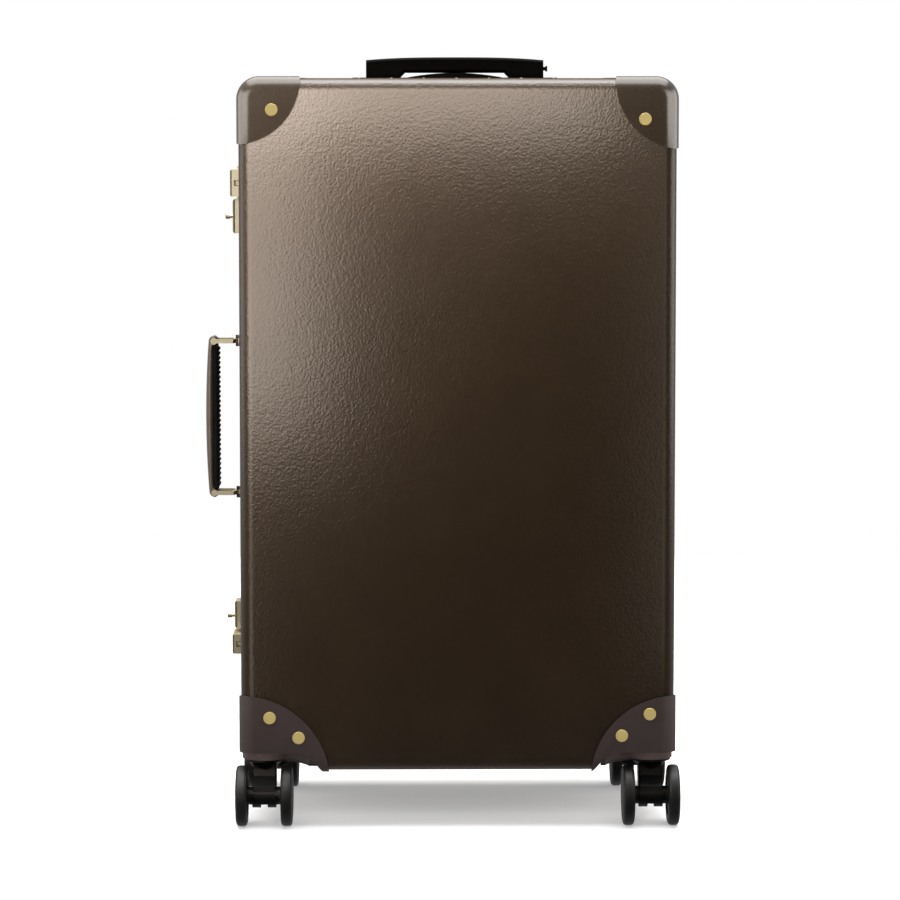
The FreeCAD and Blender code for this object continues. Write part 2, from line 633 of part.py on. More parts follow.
# bezel: recessed pan, flange on the case top, crowned lip in front of the grip
pan = box("-pan_x-pan_wall", "trolley_y-pan_y-pan_wall", "pan_floor-pan_wall",
          "2*pan_x+2*pan_wall", "2*pan_y+2*pan_wall", "body_top-pan_floor+pan_wall", "pan")
flange = box("-flange_x", "trolley_y-flange_y-2.5", "body_top", "2*flange_x", "2*flange_y+2", "flange_high", "flange")
flange = rounded(flange, 8.0, along("z"))
lip_prof = []
for i in range(13):
    t = -1 + i / 6.0
    lip_prof.append((t * D["lip_x"] * 1.28, D["body_top"] + 1.0 + (D["lip_top"] - D["body_top"] - 1.0) * (1 - t * t)))
lip = padded(lip_prof, "XZ_Plane", 3.0, "crown")
at(lip, 0, "trolley_y-flange_y-0.9", 0)
hole = box("-pan_x", "trolley_y-pan_y", "pan_floor", "2*pan_x", "2*pan_y", 60, "pan_space")
hole = rounded(hole, 6.0, along("z"))
bz = fuse([pan, flange, lip])
bz = cut(bz, [hole] + [box("%d*tube_x-tube_b_x/2-0.35" % sx, "trolley_y-tube_b_y/2-0.35", 700,
                          "tube_b_x+0.7", "tube_b_y+0.7", 60) for _, sx in SIDES], "bezel")
node("trolley_bezel", bz)

# inner cover: a lined channel over the tubes inside the base
cov = box(-112, 67.5, "body_bot+wall+lining+0.2", 224, "back_y-wall-lining-0.2-67.5", "body_top-body_bot-2*wall-2*lining-0.4", "cover")
cov = rounded(cov, 11.0, lambda e: e.BoundBox.XLength > 200 and e.BoundBox.YMin > 120)
cov_in = box(-110, 69.5, 0, 220, 100, 1000)
cov = cut(cov, cov_in, "cover_channel")
node("trolley_cover", cov)

# grip: two feet on the inner tubes and a crowned bar between them
gp = [("-grip_x", "grip_foot"), ("-grip_x+grip_leg", "grip_foot"), ("-grip_x+grip_leg", "grip_under-5"),
      ("-grip_x+grip_leg+5", "grip_under"), ("grip_x-grip_leg-5", "grip_under"),
      ("grip_x-grip_leg", "grip_under-5"), ("grip_x-grip_leg", "grip_foot"), ("grip_x", "grip_foot")]
top = []
for i in range(17):
    t = 1 - i / 8.0
    top.append((t * (D["grip_x"] - 0.0), D["grip_top"] + (D["grip_crown"] - D["grip_top"]) * (1 - abs(t) ** 3)))
gp2 = [(D_num(a), D_num(b)) for a, b in gp] + top
handle = padded(gp + top, "XZ_Plane", "2*grip_y", "trolley_handle")
at(handle, 0, "trolley_y", 0)
doc.recompute()
handle = rounded(handle, 4.0, lambda e: abs(e.BoundBox.YLength) < 1e-6 and e.BoundBox.ZMin > D["grip_foot"] + 1)
socket = [box("%d*tube_x-tube_c_x/2" % sx, "trolley_y-tube_c_y/2", 720, "tube_c_x", "tube_c_y",
              "grip_foot+12-720", "socket") for _, sx in SIDES]
socket = [rounded(s, 3.0, along("z")) for s in socket]
bslot = [box("grip_x-7.9", "trolley_y-2.2", 759.2, 12, 4.4, 4.4, "button_neck_slot"),
         box("grip_x-13.2", "trolley_y-4.2", 757.2, 7.3, 8.4, 8.4, "button_space")]
handle = cut(handle, socket + bslot, "grip")
node("trolley_grip", handle)
btn = fuse([box("grip_x-8.9", "trolley_y-3.9", 757.5, 2.6, 7.8, 7.8, "button_foot"),
            box("grip_x-7", "trolley_y-1.9", 759.5, 10.2, 3.8, 3.8, "button_neck"),
            rounded(box("grip_x+2.6", "trolley_y-4", 758.4, 1.9, 8, 6.0, "button_head"), 0.8,
                    lambda e: True)])
node("trolley_button", btn)

# ---------------------------------------------------------------- casters
for half in ("lid", "base"):
    end, sy = ENDS[half]
    for side, sx in SIDES:
        cx, cy = "%d*swivel_x" % sx, "%d*swivel_y" % sy
        ay = "%d*swivel_y-trail" % sy
        cxn, cyn = sx * D["swivel_x"], sy * D["swivel_y"]
        ayn = cyn - D["trail"]
        # fork: flared flange, cranked neck, barrel round the axle
        neck = padded([(cyn + 11, 64.5), (cyn + 11, 52), (cyn - 6, 25), (ayn - 3.0, 20.0), (ayn - 10.5, 25.0),
                       (ayn - 12.0, 31.0), (ayn - 9.5, 41.0), (cyn - 14.5, 50.0), (cyn - 12.0, 57.0), (cyn - 11.0, 64.5)],
                      "YZ_Plane", "fork_wide", "neck")
        at(neck, cx, 0, 0)
        doc.recompute()
        neck = rounded(neck, 1.5, lambda e: e.BoundBox.XLength < 0.01 and e.BoundBox.ZMin < 64)
        barrel = cyl("x", "%d*swivel_x-fork_wide/2" % sx, ay, "wheel_rad", "barrel_rad", "fork_wide", "barrel")
        # the flange runs down into the neck in a hollow curve
        flare = turned([(0, 53.5), (11.8, 53.5), (12.3, 56.2), (13.2, 58.6), (14.5, 60.7), (16.2, 62.4),
                        (18.3, 63.7), (20.8, 64.6), (20.8, "cup_z-0.3"), (0, "cup_z-0.3")],
                       "XZ_Plane", "V_Axis", "flare")
        at(flare, cx, cy, 0)
        fork = fuse([neck, barrel, flare])
        fork = cut(fork, [cyl("z", cx, cy, 47.6, "king_rad+0.05", 40, "king_bore"),
                          cyl("x", "%d*swivel_x-40" % sx, ay, "wheel_rad", "axle_rad", 80, "axle_hole"),
                          box("%d*swivel_x-3.4" % sx, ayn - 14, 10, 6.8, 20, 13.0, "barrel_notch")], "fork")
        node("%s_%s_fork" % (end, side), fork)
        node("%s_%s_axle" % (end, side),
             cyl("x", "%d*swivel_x-axle_long/2" % sx, ay, "wheel_rad", "axle_rad", "axle_long", "axle"))
        for place, d in (("outer", sx), ("inner", -sx)):
            # wheel section: distance from the middle of the caster, radius
            R = D["wheel_rad"]
            g0 = D["wheel_gap"] / 2
            g1 = g0 + D["wheel_wide"]
            sec = [(12.35, 3.06), (12.35, 9.0), (g0 + 1.6, 9.0), (g0 + 1.6, 20.5), (g0, 21.5), (g0, 26.8),
                   (g0 + 0.9, 29.2), (g0 + 2.8, 30.3), (g0 + 4.4, R), (g1 - 5.0, R), (g1 - 3.0, 30.2),
                   (g1 - 1.5, 28.8), (g1 - 0.9, 26.4), (g1 - 0.7, 22.4), (g1 - 1.5, 21.9), (g1 - 1.4, 21.2),
                   (g1 - 0.5, 20.7), (g1 - 0.15, 12.0), (g1, 6.0), (g1, 0.0), (28.7, 0.0), (28.7, 3.06)]
            w = turned([(d * a, r) for a, r in sec], "XY_Plane", "H_Axis", "wheel")
            at(w, cx, ay, "wheel_rad")
            node("%s_%s_wheel_%s" % (end, side, place), w)

doc.recompute()

# ---------------------------------------------------------------- check and write
bad = []
for o in doc.Objects:
    if "Invalid" in o.State or "Error" in o.State:
        bad.append((o.Label, o.State))
for o in nodes:
    s = o.Shape
    if s.isNull() or not s.isValid() or not s.Solids:
        bad.append((o.Label, "null or invalid"))
if bad:
    raise RuntimeError("bad objects: %s" % bad[:12])
os.makedirs("parts", exist_ok=True)
for o in nodes:
    o.Shape.exportStep("parts/%s.step" % o.Label)
print(len(nodes), "pieces written")
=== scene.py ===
import math

import bmesh
import bpy
from mathutils import Matrix, Vector, noise


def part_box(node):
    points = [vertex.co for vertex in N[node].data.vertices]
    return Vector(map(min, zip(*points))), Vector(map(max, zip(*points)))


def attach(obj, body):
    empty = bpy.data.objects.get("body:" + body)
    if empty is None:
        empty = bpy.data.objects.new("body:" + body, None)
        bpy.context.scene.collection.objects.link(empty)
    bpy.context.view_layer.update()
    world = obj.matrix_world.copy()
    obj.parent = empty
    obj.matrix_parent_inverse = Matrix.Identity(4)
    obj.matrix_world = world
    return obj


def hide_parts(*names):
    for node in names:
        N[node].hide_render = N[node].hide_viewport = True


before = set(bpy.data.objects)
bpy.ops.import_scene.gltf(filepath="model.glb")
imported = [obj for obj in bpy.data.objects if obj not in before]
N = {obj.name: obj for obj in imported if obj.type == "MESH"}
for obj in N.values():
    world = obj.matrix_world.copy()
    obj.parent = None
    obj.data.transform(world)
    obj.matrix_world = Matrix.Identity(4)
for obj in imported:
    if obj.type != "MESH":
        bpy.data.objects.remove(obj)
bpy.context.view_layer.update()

scene = bpy.context.scene
MM = 0.001


CX = (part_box("lid_shell")[0][0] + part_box("lid_shell")[1][0]) / 2


def P(x, y, z):
    """A point in millimetres about the middle of the case, in the row frame."""
    return Vector((x * MM + CX, (y + 6.0) * MM, z * MM))


# ------------------------------------------------------------------ camera
def make_camera():
    data = bpy.data.cameras.new("view")
    cam = bpy.data.objects.new("view", data)
    scene.collection.objects.link(cam)
    scene.camera = cam
    data.sensor_fit = "AUTO"
    data.sensor_width = 36.0
    data.lens = 143.2
    data.shift_y = -0.045
    cam.location = P(-54.3, -135 - 3547.6, 724.7)
    cam.rotation_mode = "XYZ"
    cam.rotation_euler = (math.pi / 2 - 0.0852, 0.0, -0.0131)
    data.clip_start, data.clip_end = 0.05, 60.0
    data.dof.use_dof = False
    return cam


make_camera()
scene.view_settings.view_transform = "Standard"
scene.view_settings.look = "None"
scene.view_settings.exposure = 0.0
scene.view_settings.gamma = 1.0


# ------------------------------------------------------------------ materials
class Mat:
    """A Principled material whose patterns are read in the piece's own metres."""

    def __init__(self, name, **values):
        self.m = bpy.data.materials.new(name)
        self.m.use_nodes = True
        self.nt = self.m.node_tree
        self.nt.nodes.clear()
        self.out = self.add("ShaderNodeOutputMaterial")
        self.b = self.add("ShaderNodeBsdfPrincipled")
        self.link(self.b.outputs["BSDF"], self.out.inputs["Surface"])
        self.co = self.add("ShaderNodeTexCoord").outputs["Object"]
        for key, value in values.items():
            self.b.inputs[key.replace("_", " ")].default_value = value

    def add(self, kind, **props):
        n = self.nt.nodes.new(kind)
        for k, v in props.items():
            setattr(n, k, v)
        return n

    def link(self, a, b):
        self.nt.links.new(a, b)

    def put(self, sock, value):
        if isinstance(value, bpy.types.NodeSocket):
            self.link(value, sock)
        else:
            sock.default_value = value

    def stretch(self, sx, sy, sz, turn=(0.0, 0.0, 0.0)):
        n = self.add("ShaderNodeMapping")
        self.link(self.co, n.inputs["Vector"])
        n.inputs["Scale"].default_value = (sx, sy, sz)
        n.inputs["Rotation"].default_value = turn
        return n.outputs["Vector"]

    def noise(self, scale, detail=2.0, rough=0.5, warp=0.0, vec=None):
        n = self.add("ShaderNodeTexNoise")
        self.link(vec or self.co, n.inputs["Vector"])
        n.inputs["Scale"].default_value = scale
        n.inputs["Detail"].default_value = detail
        n.inputs["Roughness"].default_value = rough
        n.inputs["Distortion"].default_value = warp
        return n.outputs["Fac"]

    def cells(self, scale, feature="F1", vec=None, even=1.0):
        n = self.add("ShaderNodeTexVoronoi", feature=feature)
        self.link(vec or self.co, n.inputs["Vector"])
        n.inputs["Scale"].default_value = scale
        n.inputs["Randomness"].default_value = even
        return n.outputs["Distance"]

    def wave(self, scale, axis="X", warp=0.0, vec=None):
        n = self.add("ShaderNodeTexWave", wave_type="BANDS", bands_direction=axis)
        self.link(vec or self.co, n.inputs["Vector"])
        n.inputs["Scale"].default_value = scale
        n.inputs["Distortion"].default_value = warp
        return n.outputs["Fac"]

    def axis(self, which, vec=None):
        n = self.add("ShaderNodeSeparateXYZ")
        self.link(vec or self.co, n.inputs[0])
        return n.outputs[which]

    def math(self, op, a, b=None, clamp=False):
        n = self.add("ShaderNodeMath", operation=op, use_clamp=clamp)
        self.put(n.inputs[0], a)
        if b is not None:
            self.put(n.inputs[1], b)
        return n.outputs[0]

    def span(self, v, a, b, c, d, smooth=False):
        n = self.add("ShaderNodeMapRange")
        n.clamp = True
        if smooth:
            n.interpolation_type = "SMOOTHSTEP"
        self.put(n.inputs["Value"], v)
        for key, val in (("From Min", a), ("From Max", b), ("To Min", c), ("To Max", d)):
            n.inputs[key].default_value = val
        return n.outputs["Result"]

    def ramp(self, fac, *stops):
        n = self.add("ShaderNodeValToRGB")
        els = n.color_ramp.elements
        while len(els) < len(stops):
            els.new(0.5)
        for e, (p, c) in zip(els, stops):
            e.position = p
            e.color = (*c, 1.0)
        self.link(fac, n.inputs["Fac"])
        return n.outputs["Color"]

    def mix(self, fac, a, b):
        n = self.add("ShaderNodeMix", data_type="RGBA")
        self.put(n.inputs["Factor"], fac)
        for sock, v in ((n.inputs[6], a), (n.inputs[7], b)):
            self.put(sock, v if isinstance(v, bpy.types.NodeSocket) else (*v, 1.0))
        return n.outputs[2]

    def bump(self, height, distance, strength=1.0, after=None):
        n = self.add("ShaderNodeBump")
        n.inputs["Strength"].default_value = strength
        n.inputs["Distance"].default_value = distance
        self.link(height, n.inputs["Height"])
        if after is not None:
            self.link(after, n.inputs["Normal"])
        return n.outputs["Normal"]

    def set(self, **sockets):
        for key, v in sockets.items():
            self.link(v, self.b.inputs[key.replace("_", " ")])
        return self.m


def fibre():
    m = Mat("fibre_board")
    mottle = m.math("ADD", m.math("MULTIPLY", m.noise(14, 3, 0.55), 0.6), m.math("MULTIPLY", m.noise(150, 3, 0.6), 0.4))
    col = m.ramp(mottle, (0.3, (0.0210, 0.0116, 0.0048)), (0.55, (0.0255, 0.0142, 0.0060)), (0.75, (0.0305, 0.0174, 0.0076)))
    # pressed pebble: shallow lumps about a millimetre and a half across, a finer tooth over them
    pebble = m.math("ADD", m.math("MULTIPLY", m.noise(460, 0.9, 0.5, 0.0, m.stretch(1.0, 1.0, 0.9)), 0.8),
                    m.math("MULTIPLY", m.noise(220, 1.0, 0.5), 0.3))
    tooth = m.noise(1300, 2, 0.5)
    drift = m.noise(18, 2, 0.5)
    # the board is pressed a little hollow towards its edges
    x = m.math("ABSOLUTE", m.math("SUBTRACT", m.axis(0), CX))
    z = m.math("ABSOLUTE", m.math("SUBTRACT", m.axis(2), 0.4035))
    tx = m.math("POWER", m.span(x, 0.10, 0.21, 0, 1), 3.0)
    tz = m.math("POWER", m.span(z, 0.20, 0.34, 0, 1), 3.0)
    pillow = m.math("ADD", m.math("MULTIPLY", tx, -0.0016), m.math("MULTIPLY", tz, -0.0034))
    n = m.bump(pillow, 1.0)
    n = m.bump(drift, 0.0003, 1.0, n)
    n = m.bump(pebble, 0.00031, 1.0, n)
    n = m.bump(tooth, 0.00002, 1.0, n)
    rough = m.span(m.math("ADD", m.noise(260, 2), m.math("MULTIPLY", m.noise(30, 2), 0.5)), 0.4, 1.1, 0.288, 0.318)
    # the top, underside and side walls are less polished than the panels
    up = m.add("ShaderNodeTexCoord").outputs["Normal"]
    lying = m.math("ABSOLUTE", m.axis(2, up))
    side = m.math("ABSOLUTE", m.axis(0, up))
    rough = m.math("ADD", rough, m.span(lying, 0.70, 0.97, 0.0, 0.34, True))
    rough = m.math("ADD", rough, m.span(side, 0.95, 0.995, 0.0, 0.12, True))
    gloss = m.math("MINIMUM", m.span(lying, 0.80, 0.98, 0.5, 0.05, True), m.span(side, 0.95, 0.995, 0.5, 0.10, True))
    return m.set(Base_Color=col, Roughness=rough, Specular_IOR_Level=gloss, Normal=n)


def leather(name, dark, mid, light, lo, hi, grain=0.00010, spec=0.5, wax=0.0):
    m = Mat(name, Specular_IOR_Level=spec, Coat_Weight=wax, Coat_Roughness=0.24, Coat_IOR=1.5)
    tone = m.math("ADD", m.math("MULTIPLY", m.noise(40, 3, 0.55), 0.65), m.math("MULTIPLY", m.noise(420, 3, 0.6), 0.35))
    col = m.ramp(tone, (0.32, dark), (0.52, mid), (0.74, light))
    cells = m.cells(900, "F1", m.stretch(1.0, 1.0, 1.15))
    folds = m.noise(260, 3, 0.55, 0.5)
    n = m.bump(folds, grain * 0.8)
    n = m.bump(cells, grain, 1.0, n)
    rough = m.span(m.math("ADD", cells, m.math("MULTIPLY", m.noise(70, 2), 0.6)), 0.3, 1.1, lo, hi)
    return m.set(Base_Color=col, Roughness=rough, Normal=n)


def metal(name, dark, mid, light, lo, hi, line=(60, 60, 60), mark=0.00002, spots=700, bare=1.0):
    m = Mat(name, Metallic=bare)
    streak = m.noise(14, 4, 0.6, 0.0, m.stretch(*line))
    tone = m.math("ADD", m.math("MULTIPLY", streak, 0.6), m.math("MULTIPLY", m.noise(90, 3), 0.4))
    col = m.ramp(tone, (0.30, dark), (0.52, mid), (0.74, light))
    n = m.bump(streak, mark)
    n = m.bump(m.noise(spots, 2), mark, 1.0, n)
    rough = m.span(tone, 0.3, 0.75, lo, hi)
    return m.set(Base_Color=col, Roughness=rough, Normal=n)


def plastic(name, dark, mid, light, lo, hi, tooth=1500, deep=0.00005, spec=0.5):
    m = Mat(name, Specular_IOR_Level=spec)
    tone = m.math("ADD", m.math("MULTIPLY", m.noise(60, 3), 0.5), m.math("MULTIPLY", m.noise(tooth, 2), 0.5))
    col = m.ramp(tone, (0.32, dark), (0.52, mid), (0.72, light))
    n = m.bump(m.noise(tooth, 2, 0.6), deep)
    n = m.bump(m.noise(35, 2), 0.00025, 1.0, n)
    rough = m.span(tone, 0.3, 0.75, lo, hi)
    return m.set(Base_Color=col, Roughness=rough, Normal=n)


def cloth(name, warp, weft, lo, hi, pitch=0.0011):
    m = Mat(name, Sheen_Weight=0.25, Sheen_Roughness=0.5, Specular_IOR_Level=0.25)
    s = 2 * math.pi / pitch / 20.0
    a = m.wave(s, "DIAGONAL", 0.4)
    b = m.wave(s, "DIAGONAL", 0.4, m.stretch(1.0, 1.0, -1.0))
    over = m.math("MULTIPLY", a, b)
    slub = m.noise(600, 3, 0.6, 0.0, m.stretch(1.0, 1.0, 0.15))
    tone = m.math("ADD", m.math("MULTIPLY", over, 0.55), m.math("MULTIPLY", m.math("ADD", slub, m.noise(25, 3)), 0.3))
    col = m.ramp(tone, (0.25, warp), (0.75, weft))
    n = m.bump(m.math("ADD", a, b), pitch * 0.12)
    n = m.bump(slub, 0.0001, 1.0, n)
    return m.set(Base_Color=col, Roughness=m.span(tone, 0.2, 0.8, lo, hi), Normal=n)


MATS = {
    "fibre": fibre(),
    "leather_top": leather("leather_top", (0.0205, 0.0130, 0.0076), (0.0228, 0.0146, 0.0087), (0.0255, 0.0165, 0.0100), 0.26, 0.30, 0.000004, 1.0, 0.7),
    "leather_bottom": leather("leather_bottom", (0.0300, 0.0192, 0.0186), (0.0326, 0.0211, 0.0205), (0.0358, 0.0235, 0.0229), 0.46, 0.56, 0.00002, 0.4),
    "handle_leather": leather("handle_leather", (0.055, 0.041, 0.031), (0.070, 0.053, 0.041), (0.085, 0.066, 0.052), 0.38, 0.52, 0.00010),
    "rivet_brass": metal("rivet_brass", (0.56, 0.44, 0.165), (0.61, 0.485, 0.190), (0.66, 0.53, 0.220), 0.55, 0.70, (90, 90, 90), 0.00004, 1400, 0.75),
    "polished_brass": metal("polished_brass", (0.74, 0.64, 0.42), (0.79, 0.70, 0.48), (0.84, 0.74, 0.51), 0.32, 0.44, (40, 40, 400)),
    "rim_pin": metal("rim_pin", (0.24, 0.22, 0.19), (0.30, 0.28, 0.25), (0.36, 0.34, 0.31), 0.34, 0.46, (90, 90, 90)),
    "rim_aluminium": metal("rim_aluminium", (0.55, 0.55, 0.56), (0.66, 0.66, 0.67), (0.76, 0.76, 0.77), 0.30, 0.40, (30, 160, 30), 0.000006, 400),
    "tube_aluminium": metal("tube_aluminium", (0.62, 0.62, 0.63), (0.68, 0.68, 0.69), (0.74, 0.74, 0.75), 0.40, 0.42, (160, 160, 5), 0.000002, 300),
    "steel": metal("steel_pins", (0.50, 0.50, 0.50), (0.60, 0.60, 0.60), (0.70, 0.70, 0.69), 0.22, 0.36, (200, 200, 40)),
    "black_metal": metal("black_metal", (0.020, 0.020, 0.021), (0.030, 0.030, 0.031), (0.042, 0.042, 0.043), 0.30, 0.42, (80, 80, 80)),
    "black_plastic": plastic("black_plastic", (0.0022, 0.0022, 0.0023), (0.0031, 0.0030, 0.0032), (0.0042, 0.0041, 0.0044), 0.34, 0.44, 1500, 0.00003, 0.35),
    "caster_plastic": plastic("caster_plastic", (0.0020, 0.0019, 0.0021), (0.0029, 0.0028, 0.0030), (0.0042, 0.0041, 0.0044), 0.36, 0.50, 1500, 0.00005, 0.25),
    # the housings' brown is painted lighter than the plastic, standing in for light the cups lack in the shade under
    # the caps
    "brown_plastic": plastic("brown_plastic", (0.072, 0.048, 0.044), (0.082, 0.055, 0.051), (0.094, 0.064, 0.059), 0.48, 0.60, 1500, 0.00005, 0.25),
    "lining_cloth": cloth("lining_cloth", (0.20, 0.135, 0.080), (0.34, 0.245, 0.155), 0.72, 0.90),
    "lining_board": cloth("lining_board", (0.20, 0.135, 0.080), (0.34, 0.245, 0.155), 0.72, 0.90),
}


def wheel():
    m = Mat("wheel_rubber", Specular_IOR_Level=0.32)
    tone = m.math("ADD", m.math("MULTIPLY", m.noise(120, 3), 0.6), m.math("MULTIPLY", m.noise(1600, 2), 0.4))
    col = m.ramp(tone, (0.32, (0.0052, 0.0051, 0.0052)), (0.52, (0.0068, 0.0067, 0.0068)), (0.74, (0.0092, 0.0090, 0.0091)))
    n = m.bump(m.noise(1500, 2, 0.6), 0.00005)
    n = m.bump(m.noise(150, 2), 0.00015, 1.0, n)
    return m.set(Base_Color=col, Roughness=m.span(tone, 0.3, 0.75, 0.44, 0.60), Normal=n)


MATS["wheel"] = wheel()

for o in N.values():
    for i, slot in enumerate(o.data.materials):
        o.data.materials[i] = MATS[slot.name.split(".")[0]]


# ------------------------------------------------------------------ pieces
def place(bm, name, mats, body, sharp=35.0):
    """A finished mesh becomes a piece that rides on a CAD body."""
    bmesh.ops.recalc_face_normals(bm, faces=bm.faces)
    me = bpy.data.meshes.new(name)
    bm.to_mesh(me)
    bm.free()
    for m in mats:
        me.materials.append(m)
    me.polygons.foreach_set("use_smooth", [True] * len(me.polygons))
    me.set_sharp_from_angle(angle=math.radians(sharp))
    o = bpy.data.objects.new(name, me)
    scene.collection.objects.link(o)
    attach(o, body)
    return o


def loft(bm, rings, mat=0):
    """A closed skin through rings of points, each end drawn to its middle."""
    rows = [[bm.verts.new(p) for p in r] for r in rings]
    n = len(rows[0])
    for a, b in zip(rows, rows[1:]):
        for i in range(n):
            bm.faces.new((a[i], a[(i + 1) % n], b[(i + 1) % n], b[i])).material_index = mat
    for row in (rows[0], rows[-1]):
        c = bm.verts.new(sum((v.co for v in row), Vector()) / n)
        for i in range(n):
            bm.faces.new((row[i], row[(i + 1) % n], c)).material_index = mat


def thread(bm, pts, r, sides=8, mat=0):
    """A round thread through pts with rounded ends."""
    rings = []
    last = len(pts) - 1
    for k, p in enumerate(pts):
        d = (pts[min(k + 1, last)] - pts[max(k - 1, 0)]).normalized()
        u = d.orthogonal().normalized()
        if rings:
            u = (old - d * old.dot(d)).normalized()
        old = u
        w = d.cross(u)
        rr = r * (0.45 if k in (0, last) else 1.0)
        rings.append([p + (u * math.cos(t) + w * math.sin(t)) * rr for t in (2 * math.pi * i / sides for i in range(sides))])
    loft(bm, rings, mat)


# pale leather for the caps' bevelled cut edges: a painted highlight along the edge
EDGE_HIGHLIGHT_LEATHER = leather("leather_edge_painted_highlight", (0.20, 0.160, 0.125), (0.25, 0.200, 0.158), (0.30, 0.245, 0.195), 0.40, 0.55, 0.00003)
SHADED = []


def make_cap(node):
    """Pressed leather corner: the CAD form with a softly turned cut edge whose bevel faces carry a painted highlight.
    """
    bm = bmesh.new()
    bm.from_mesh(N[node].data)
    bmesh.ops.remove_doubles(bm, verts=bm.verts, dist=1e-6)
    bmesh.ops.dissolve_limit(bm, angle_limit=math.radians(0.6), verts=bm.verts, edges=bm.edges)
    edges = [e for e in bm.edges if len(e.link_faces) == 2 and e.calc_face_angle(0.0) > math.radians(30)]
    made = bmesh.ops.bevel(bm, geom=edges, offset=0.0006, offset_type="OFFSET", segments=3, profile=0.5,
                           affect="EDGES", clamp_overlap=True)
    # the bevel faces take the pale edge leather, a painted highlight
    for f in made["faces"]:
        f.material_index = 1
    slot = "leather_top" if "_top_" in node else "leather_bottom"
    o = place(bm, "formed_" + node, [MATS[slot], EDGE_HIGHLIGHT_LEATHER], node.split("_")[0], 40.0)
    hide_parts(node)
    SHADED.append(o)
    return o


for name in sorted(N):
    if "_corner_" in name and "rivets" not in name:
        make_cap(name)


def make_grip():
    """Carry grip: a leather strap turned round both cross pins, on a black pad whose edges are whip stitched."""
    lo, hi = (Vector(v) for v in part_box("handle_grip"))
    mid, half = (lo.z + hi.z) / 2, (hi.z - lo.z) / 2
    yc = (lo.y + hi.y) / 2
    x_in, x_out = hi.x, lo.x
    x_end = x_out + 0.0033
    pin = half - 0.0048
    px = x_in - 0.0049
    split = x_in - 0.0058

    def outer(z):
        return x_out + (x_end - x_out) * (z / half) ** 2

    def ring(xa, xb, w, z, n, count=44):
        out = []
        for i in range(count):
            t = 2 * math.pi * i / count
            c, q = math.cos(t), math.sin(t)
            out.append(Vector(((xa + xb) / 2 + (xa - xb) / 2 * math.copysign(abs(c) ** (2 / n), c),
                               yc + w * math.copysign(abs(q) ** (2 / n), q), mid + z)))
        return out

    zs = [pin * math.sin(math.pi / 2 * i / 26) for i in range(-26, 27)]
    tips = [half * 1.0 - (half - pin) * (1 - math.sin(a)) for a in (0.35, 0.7, 1.0, 1.25, 1.45)]
    rings = []
    for z in [-t for t in reversed(tips)] + zs + tips:
        k = abs(z)
        if k <= pin:
            f = min(1.0, max(0.0, (k - (pin - 0.0075)) / 0.0075))
            f = f * f * (3 - 2 * f)
            rings.append(ring(split + (x_in - split) * f, outer(z), 0.0120 - 0.0012 * (k / half) ** 4, z, 2.7))
        else:
            c = math.sqrt(max(0.0, 1 - ((k - pin) / (half - pin)) ** 2))
            c = max(c, 0.12)
            xo = px + (outer(pin) - px) * c
            rings.append(ring(px + (x_in - px) * c, xo, 0.0120 - 0.0014 - 0.0008 * (1 - c), z, 2.7))
    bm = bmesh.new()
    loft(bm, rings)
    strap = place(bm, "handle_strap", [MATS["handle_leather"]], "carry_handle", 60.0)
    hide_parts("handle_grip")

    pad_half = pin - 0.0030
    rings = []
    for i in range(-24, 25):
        z = pad_half * math.sin(math.pi / 2 * i / 24)
        e = 1 - 0.5 * (abs(i) / 24) ** 14
        rings.append(ring(x_in - 0.0004 - 0.0028 * (1 - e), split - 0.0006 + 0.0028 * (1 - e), 0.0108 * e, z, 4.0))
    bm = bmesh.new()
    loft(bm, rings)
    pad = place(bm, "handle_pad", [HANDLE_BLACK], "carry_handle", 60.0)

    # whip stitches over both inner edges of the pad
    bm = bmesh.new()
    pitch, count = 0.0050, 28
    for side in (-1, 1):
        for i in range(count + 1):
            z = mid - pitch * count / 2 + pitch * i
            pts = []
            for t in (-1.0, -0.6, -0.2, 0.2, 0.6, 1.0):
                ang = t * 1.15
                pts.append(Vector((x_in - 0.0021 + 0.0024 * math.cos(ang),
                                   yc + side * (0.0088 + 0.0028 * math.sin(ang)), z + 0.0017 * t)))
            thread(bm, pts, 0.00085)
    stitches = place(bm, "handle_stitches", [THREAD], "carry_handle", 60.0)
    return [strap, pad, stitches]


HANDLE_BLACK = leather("handle_black", (0.0200, 0.0187, 0.0157), (0.0260, 0.0244, 0.0207), (0.0330, 0.0311, 0.0267), 0.48, 0.60, 0.00008, 0.4)
THREAD = plastic("waxed_thread", (0.0060, 0.0056, 0.0049), (0.0085, 0.0080, 0.0070), (0.0120, 0.0113, 0.0100), 0.48, 0.62, 2600, 0.00008, 0.35)
BLACKS = make_grip()[1:] + [N[n] for n in ("trolley_grip", "trolley_bezel", "trolley_button")]
BRASS = [o for n, o in N.items() if "_lock_" in n or n.startswith("lock_bod") or n.startswith("lock_catch") or n == "handle_stirrups"]
CAPS = list(SHADED)
RIVETS = [N[n] for n in ("lid_corner_rivets", "base_corner_rivets")]
TUBES = [o for n, o in N.items() if n.endswith("_tubes")]
SHADED += BLACKS + BRASS + RIVETS + TUBES


# ------------------------------------------------------------------ linings
IN_X, IN_LO, IN_HI, IN_R = 214.5, 60.0, 747.0, 18.0     # the inside of the walls and its corner radius
ROLL = 10.5                                             # the roll from the walls into the panel


